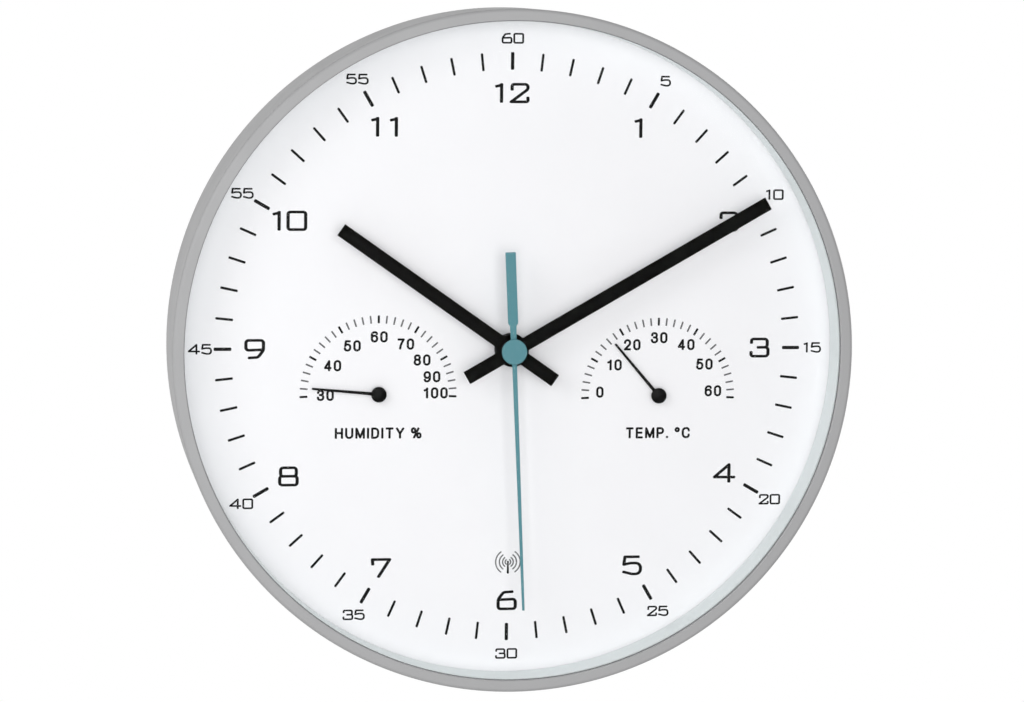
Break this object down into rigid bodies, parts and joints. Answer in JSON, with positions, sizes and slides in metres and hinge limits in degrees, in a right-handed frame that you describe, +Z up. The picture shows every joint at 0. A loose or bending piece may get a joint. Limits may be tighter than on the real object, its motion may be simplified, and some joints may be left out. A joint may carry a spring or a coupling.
{
  "type": "radio-controlled wall clock",
  "caption": "Round wall clock with hour, minute and second hands, a humidity pointer and a temperature pointer in its dial, and a radio-set movement.",
  "frame": {"origin": "the seat of the wall hook at the top of the hanger's keyhole slot, in the plane of the wall", "axes": "+Z is up, +Y points into the wall, the dial faces -Y"},
  "size_m": [0.25, 0.044, 0.25],
  "materials": {
    "case_silver": "satin",
    "glass": "gloss",
    "dial_white": "satin",
    "spacer_white": "satin",
    "back_white": "matte",
    "movement_black": "matte",
    "hand_black": "satin",
    "hand_teal": "satin",
    "pointer_black": "satin",
    "brass": "satin",
    "bimetal": "satin",
    "steel": "satin",
    "circuit": "satin",
    "copper": "satin",
    "ferrite": "matte",
    "rubber": "matte",
    "gear_plastic": "satin",
    "battery_wrap": "satin",
    "button_grey": "satin"
  },
  "bodies": {
    "case": {"front_ring": "case_silver", "lens_glass": "glass", "spacer_ring": "spacer_white", "dial_plate": "dial_white", "back_shell": "back_white", "dial_screw_1": "steel", "dial_screw_2": "steel", "dial_screw_3": "steel", "dial_screw_4": "steel", "hanger_plate": "steel", "hanger_screw_1": "steel", "hanger_screw_2": "steel", "hygro_coil": "bimetal", "hygro_housing": "back_white", "thermo_coil": "bimetal", "thermo_housing": "back_white", "center_nut": "brass", "dial_washer": "rubber", "movement_cover": "movement_black", "movement_case": "movement_black", "train_bridge": "movement_black", "seconds_stator": "steel", "seconds_coil": "copper", "minutes_stator": "steel", "minutes_coil": "copper", "circuit_board": "circuit", "clock_chip": "movement_black", "quartz_crystal": "steel", "set_switch": "steel", "receive_switch": "steel", "reset_switch": "steel", "ferrite_rod": "ferrite", "antenna_coil": "copper", "battery_contact_minus": "steel", "battery_contact_plus": "steel"},
    "second_hand": {"second_hand": "hand_teal", "second_hand_cap": "hand_teal", "seconds_shaft": "steel", "seconds_wheel": "gear_plastic"},
    "seconds_transfer": {"seconds_transfer_wheel": "gear_plastic"},
    "seconds_rotor": {"seconds_rotor": "ferrite"},
    "minute_hand": {"minute_hand": "hand_black", "minute_wheel": "gear_plastic"},
    "minutes_transfer": {"minutes_transfer_wheel": "gear_plastic"},
    "minutes_rotor": {"minutes_rotor": "ferrite"},
    "motion_wheel": {"motion_wheel": "gear_plastic"},
    "hour_hand": {"hour_hand": "hand_black", "hour_wheel": "gear_plastic"},
    "hygro_pointer": {"hygro_pointer": "pointer_black", "hygro_pointer_cap": "pointer_black", "hygro_spindle": "steel"},
    "thermo_pointer": {"thermo_pointer": "pointer_black", "thermo_pointer_cap": "pointer_black", "thermo_spindle": "steel"},
    "set_button": {"set_button": "button_grey"},
    "receive_button": {"receive_button": "button_grey"},
    "reset_button": {"reset_button": "button_grey"},
    "battery": {"battery_cell": "battery_wrap"}
  },
  "joints": [
    {"name": "second_hand_turn", "type": "hinge", "parent": "case", "child": "second_hand", "pos_m": [0, 0, -0.092], "axis": [0, 1, 0], "continuous": true},
    {"name": "seconds_transfer_turn", "type": "hinge", "parent": "case", "child": "seconds_transfer", "pos_m": [-0.0097, 0, -0.0864], "axis": [0, 1, 0], "continuous": true},
    {"name": "seconds_rotor_turn", "type": "hinge", "parent": "case", "child": "seconds_rotor", "pos_m": [-0.01915, 0, -0.08473], "axis": [0, 1, 0], "continuous": true},
    {"name": "minute_hand_turn", "type": "hinge", "parent": "case", "child": "minute_hand", "pos_m": [0, 0, -0.092], "axis": [0, 1, 0], "continuous": true},
    {"name": "minutes_transfer_turn", "type": "hinge", "parent": "case", "child": "minutes_transfer", "pos_m": [0.0097, 0, -0.0864], "axis": [0, 1, 0], "continuous": true},
    {"name": "minutes_rotor_turn", "type": "hinge", "parent": "case", "child": "minutes_rotor", "pos_m": [0.01915, 0, -0.08473], "axis": [0, 1, 0], "continuous": true},
    {"name": "motion_wheel_turn", "type": "hinge", "parent": "case", "child": "motion_wheel", "pos_m": [0, 0, -0.084], "axis": [0, 1, 0], "continuous": true},
    {"name": "hour_hand_turn", "type": "hinge", "parent": "case", "child": "hour_hand", "pos_m": [0, 0, -0.092], "axis": [0, 1, 0], "continuous": true},
    {"name": "hygro_pointer_turn", "type": "hinge", "parent": "case", "child": "hygro_pointer", "pos_m": [-0.0485, 0, -0.1087], "axis": [0, 1, 0], "range_deg": [-7.7, 176.3], "stiffness_Nm_per_rad": 0.0002, "deforming": ["hygro_coil"]},
    {"name": "thermo_pointer_turn", "type": "hinge", "parent": "case", "child": "thermo_pointer", "pos_m": [0.0558, 0, -0.1096], "axis": [0, 1, 0], "range_deg": [-50.8, 133.2], "stiffness_Nm_per_rad": 0.0002, "deforming": ["thermo_coil"]},
    {"name": "set_button_press", "type": "slide", "parent": "case", "child": "set_button", "axis": [0, -1, 0], "range_m": [0, 0.0006], "stiffness_N_per_m": 500},
    {"name": "receive_button_press", "type": "slide", "parent": "case", "child": "receive_button", "axis": [0, -1, 0], "range_m": [0, 0.0006], "stiffness_N_per_m": 500},
    {"name": "reset_button_press", "type": "slide", "parent": "case", "child": "reset_button", "axis": [0, -1, 0], "range_m": [0, 0.0006], "stiffness_N_per_m": 500},
    {"name": "battery_slide", "type": "slide", "parent": "case", "child": "battery", "axis": [0, 1, 0], "range_m": [0, 0.03]}
  ],
  "couplings": [
    {"joint": "seconds_transfer_turn", "follows": "second_hand_turn", "ratio": -6},
    {"joint": "seconds_rotor_turn", "follows": "second_hand_turn", "ratio": 30},
    {"joint": "minutes_transfer_turn", "follows": "minute_hand_turn", "ratio": -6},
    {"joint": "minutes_rotor_turn", "follows": "minute_hand_turn", "ratio": 30},
    {"joint": "motion_wheel_turn", "follows": "minute_hand_turn", "ratio": -0.33333},
    {"joint": "hour_hand_turn", "follows": "minute_hand_turn", "ratio": 0.083333}
  ]
}
